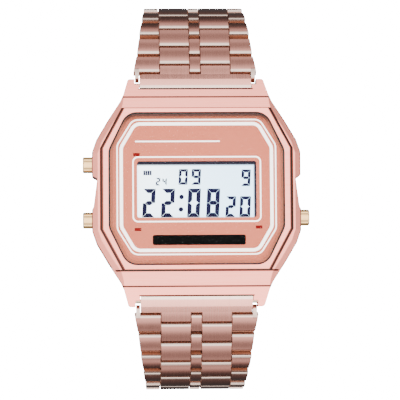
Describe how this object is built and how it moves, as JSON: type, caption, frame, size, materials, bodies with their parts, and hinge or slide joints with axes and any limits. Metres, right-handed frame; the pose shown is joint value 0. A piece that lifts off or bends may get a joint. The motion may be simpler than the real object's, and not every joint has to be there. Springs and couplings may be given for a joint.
{
  "type": "led watch",
  "caption": "Small octagonal rose gold digital watch with a liquid crystal display, side pushers and a link bracelet with a folding clasp.",
  "frame": {"origin": "middle of the case back's outer face, where it rests on the wrist", "axes": "+X to 3 o'clock, +Y to 12 o'clock, +Z out of the dial"},
  "size_m": [0.0364, 0.0638, 0.0473],
  "materials": {
    "case_gold": "polished rose gold plating",
    "link_gold": "brushed rose gold plating",
    "clasp_gold": "brushed rose gold plating",
    "pusher_gold": "polished pale gold plating",
    "crystal": "clear acrylic",
    "gasket": "black rubber",
    "dial": "satin salmon with white print",
    "display": "pale blue-grey liquid crystal",
    "light_guide": "clear",
    "elastomer": "grey silicone",
    "module_plastic": "black",
    "board": "green solder mask",
    "components": "black resin",
    "cell_steel": "nickel",
    "spring_steel": "bright",
    "contact_brass": "bright",
    "back_steel": "brushed"
  },
  "bodies": {
    "case": {"case_body": "case_gold", "crystal": "crystal", "crystal_gasket": "gasket", "dial_plate": "dial", "lcd_panel": "display", "light_guide": "light_guide", "elastomer_strips": "elastomer", "module_frame": "module_plastic", "circuit_board": "board", "board_components": "components", "coin_cell": "cell_steel", "cell_clip": "spring_steel", "switch_leaves": "contact_brass", "piezo_disc": "contact_brass", "piezo_spring": "spring_steel", "back_gasket": "gasket", "case_back": "back_steel", "case_back_screws": "back_steel", "lug_spring_bars": "spring_steel", "pusher_seals": "gasket", "spring_light": "spring_steel", "spring_mode": "spring_steel", "spring_start": "spring_steel", "end_link_12": "link_gold", "end_link_6": "link_gold"},
    "pusher_light": {"pusher_light": "pusher_gold"},
    "pusher_mode": {"pusher_mode": "pusher_gold"},
    "pusher_start": {"pusher_start": "pusher_gold"},
    "link_12_01": {"link_12_01": "link_gold"},
    "link_12_02": {"link_12_02": "link_gold"},
    "link_12_03": {"link_12_03": "link_gold"},
    "link_12_04": {"link_12_04": "link_gold"},
    "link_12_05": {"link_12_05": "link_gold"},
    "link_12_06": {"link_12_06": "link_gold"},
    "link_12_07": {"link_12_07": "link_gold"},
    "link_12_08": {"link_12_08": "link_gold"},
    "link_12_09": {"link_12_09": "link_gold"},
    "link_12_10": {"link_12_10": "link_gold"},
    "link_12_11": {"link_12_11": "link_gold"},
    "link_12_12": {"link_12_12": "link_gold"},
    "link_12_13": {"link_12_13": "link_gold"},
    "link_12_14": {"link_12_14": "link_gold"},
    "link_6_01": {"link_6_01": "link_gold"},
    "link_6_02": {"link_6_02": "link_gold"},
    "link_6_03": {"link_6_03": "link_gold"},
    "link_6_04": {"link_6_04": "link_gold"},
    "link_6_05": {"link_6_05": "link_gold"},
    "link_6_06": {"link_6_06": "link_gold"},
    "link_6_07": {"link_6_07": "link_gold"},
    "link_6_08": {"link_6_08": "link_gold"},
    "link_6_09": {"link_6_09": "link_gold"},
    "link_6_10": {"link_6_10": "link_gold"},
    "link_6_11": {"link_6_11": "link_gold"},
    "link_6_12": {"link_6_12": "link_gold"},
    "link_6_13": {"link_6_13": "link_gold"},
    "link_6_14": {"link_6_14": "link_gold"},
    "clasp_inner_blade": {"clasp_inner_blade": "clasp_gold"},
    "clasp_middle_blade": {"clasp_middle_blade": "clasp_gold"},
    "clasp_cover": {"clasp_cover": "clasp_gold"}
  },
  "joints": [
    {"name": "press_light", "type": "slide", "parent": "case", "child": "pusher_light", "axis": [1, 0, 0], "range_m": [0, 0.0006], "stiffness_N_per_m": 1500, "deforming": ["spring_light"]},
    {"name": "press_mode", "type": "slide", "parent": "case", "child": "pusher_mode", "axis": [1, 0, 0], "range_m": [0, 0.0006], "stiffness_N_per_m": 1500, "deforming": ["spring_mode"]},
    {"name": "press_start", "type": "slide", "parent": "case", "child": "pusher_start", "axis": [-1, 0, 0], "range_m": [0, 0.0006], "stiffness_N_per_m": 1500, "deforming": ["spring_start"]},
    {"name": "hinge_12_01", "type": "hinge", "parent": "case", "child": "link_12_01", "pos_m": [0, 0.01999, 0.00169], "axis": [1, 0, 0], "range_deg": [0, 5]},
    {"name": "hinge_12_02", "type": "hinge", "parent": "link_12_01", "child": "link_12_02", "pos_m": [0, 0.0231, 0.00044], "axis": [1, 0, 0], "range_deg": [0, 5]},
    {"name": "hinge_12_03", "type": "hinge", "parent": "link_12_02", "child": "link_12_03", "pos_m": [0, 0.02616, -0.00092], "axis": [1, 0, 0], "range_deg": [0, 21.5]},
    {"name": "hinge_12_04", "type": "hinge", "parent": "link_12_03", "child": "link_12_04", "pos_m": [0, 0.02863, -0.00319], "axis": [1, 0, 0], "range_deg": [0, 21.5]},
    {"name": "hinge_12_05", "type": "hinge", "parent": "link_12_04", "child": "link_12_05", "pos_m": [0, 0.03025, -0.00612], "axis": [1, 0, 0], "range_deg": [0, 21.5]},
    {"name": "hinge_12_06", "type": "hinge", "parent": "link_12_05", "child": "link_12_06", "pos_m": [0, 0.03086, -0.00941], "axis": [1, 0, 0], "range_deg": [0, 21.5]},
    {"name": "hinge_12_07", "type": "hinge", "parent": "link_12_06", "child": "link_12_07", "pos_m": [0, 0.03039, -0.01273], "axis": [1, 0, 0], "range_deg": [0, 8.99]},
    {"name": "hinge_12_08", "type": "hinge", "parent": "link_12_07", "child": "link_12_08", "pos_m": [0, 0.02959, -0.01598], "axis": [1, 0, 0], "range_deg": [0, 8.99]},
    {"name": "hinge_12_09", "type": "hinge", "parent": "link_12_08", "child": "link_12_09", "pos_m": [0, 0.02844, -0.01913], "axis": [1, 0, 0], "range_deg": [0, 8.99]},
    {"name": "hinge_12_10", "type": "hinge", "parent": "link_12_09", "child": "link_12_10", "pos_m": [0, 0.02697, -0.02214], "axis": [1, 0, 0], "range_deg": [0, 8.99]},
    {"name": "hinge_12_11", "type": "hinge", "parent": "link_12_10", "child": "link_12_11", "pos_m": [0, 0.0252, -0.02498], "axis": [1, 0, 0], "range_deg": [0, 8.99]},
    {"name": "hinge_12_12", "type": "hinge", "parent": "link_12_11", "child": "link_12_12", "pos_m": [0, 0.02314, -0.02762], "axis": [1, 0, 0], "range_deg": [0, 8.99]},
    {"name": "hinge_12_13", "type": "hinge", "parent": "link_12_12", "child": "link_12_13", "pos_m": [0, 0.02082, -0.03004], "axis": [1, 0, 0], "range_deg": [0, 8.99]},
    {"name": "hinge_12_14", "type": "hinge", "parent": "link_12_13", "child": "link_12_14", "pos_m": [0, 0.01825, -0.03219], "axis": [1, 0, 0], "range_deg": [0, 8.99]},
    {"name": "hinge_6_01", "type": "hinge", "parent": "case", "child": "link_6_01", "pos_m": [0, -0.01999, 0.00169], "axis": [-1, 0, 0], "range_deg": [0, 5]},
    {"name": "hinge_6_02", "type": "hinge", "parent": "link_6_01", "child": "link_6_02", "pos_m": [0, -0.0231, 0.00044], "axis": [-1, 0, 0], "range_deg": [0, 5]},
    {"name": "hinge_6_03", "type": "hinge", "parent": "link_6_02", "child": "link_6_03", "pos_m": [0, -0.02616, -0.00092], "axis": [-1, 0, 0], "range_deg": [0, 21.5]},
    {"name": "hinge_6_04", "type": "hinge", "parent": "link_6_03", "child": "link_6_04", "pos_m": [0, -0.02863, -0.00319], "axis": [-1, 0, 0], "range_deg": [0, 21.5]},
    {"name": "hinge_6_05", "type": "hinge", "parent": "link_6_04", "child": "link_6_05", "pos_m": [0, -0.03025, -0.00612], "axis": [-1, 0, 0], "range_deg": [0, 21.5]},
    {"name": "hinge_6_06", "type": "hinge", "parent": "link_6_05", "child": "link_6_06", "pos_m": [0, -0.03086, -0.00941], "axis": [-1, 0, 0], "range_deg": [0, 21.5]},
    {"name": "hinge_6_07", "type": "hinge", "parent": "link_6_06", "child": "link_6_07", "pos_m": [0, -0.03039, -0.01273], "axis": [-1, 0, 0], "range_deg": [0, 8.99]},
    {"name": "hinge_6_08", "type": "hinge", "parent": "link_6_07", "child": "link_6_08", "pos_m": [0, -0.02959, -0.01598], "axis": [-1, 0, 0], "range_deg": [0, 8.99]},
    {"name": "hinge_6_09", "type": "hinge", "parent": "link_6_08", "child": "link_6_09", "pos_m": [0, -0.02844, -0.01913], "axis": [-1, 0, 0], "range_deg": [0, 8.99]},
    {"name": "hinge_6_10", "type": "hinge", "parent": "link_6_09", "child": "link_6_10", "pos_m": [0, -0.02697, -0.02214], "axis": [-1, 0, 0], "range_deg": [0, 8.99]},
    {"name": "hinge_6_11", "type": "hinge", "parent": "link_6_10", "child": "link_6_11", "pos_m": [0, -0.0252, -0.02498], "axis": [-1, 0, 0], "range_deg": [0, 8.99]},
    {"name": "hinge_6_12", "type": "hinge", "parent": "link_6_11", "child": "link_6_12", "pos_m": [0, -0.02314, -0.02762], "axis": [-1, 0, 0], "range_deg": [0, 8.99]},
    {"name": "hinge_6_13", "type": "hinge", "parent": "link_6_12", "child": "link_6_13", "pos_m": [0, -0.02082, -0.03004], "axis": [-1, 0, 0], "range_deg": [0, 8.99]},
    {"name": "hinge_6_14", "type": "hinge", "parent": "link_6_13", "child": "link_6_14", "pos_m": [0, -0.01825, -0.03219], "axis": [-1, 0, 0], "range_deg": [0, 8.99]},
    {"name": "hinge_clasp", "type": "hinge", "parent": "link_6_14", "child": "clasp_inner_blade", "pos_m": [0, -0.01548, -0.03407], "axis": [-1, 0, 0], "range_deg": [0, 8.99]},
    {"name": "clasp_fold", "type": "hinge", "parent": "clasp_inner_blade", "child": "clasp_middle_blade", "pos_m": [0, 0.00874, -0.0363], "axis": [1, 0, 0], "range_deg": [0, 150]},
    {"name": "clasp_cover_turn", "type": "hinge", "parent": "clasp_middle_blade", "child": "clasp_cover", "pos_m": [0, -0.01355, -0.03453], "axis": [-1, 0, 0], "range_deg": [0, 150]}
  ],
  "couplings": [
    {"joint": "clasp_cover_turn", "follows": "clasp_fold", "ratio": 1}
  ]
}
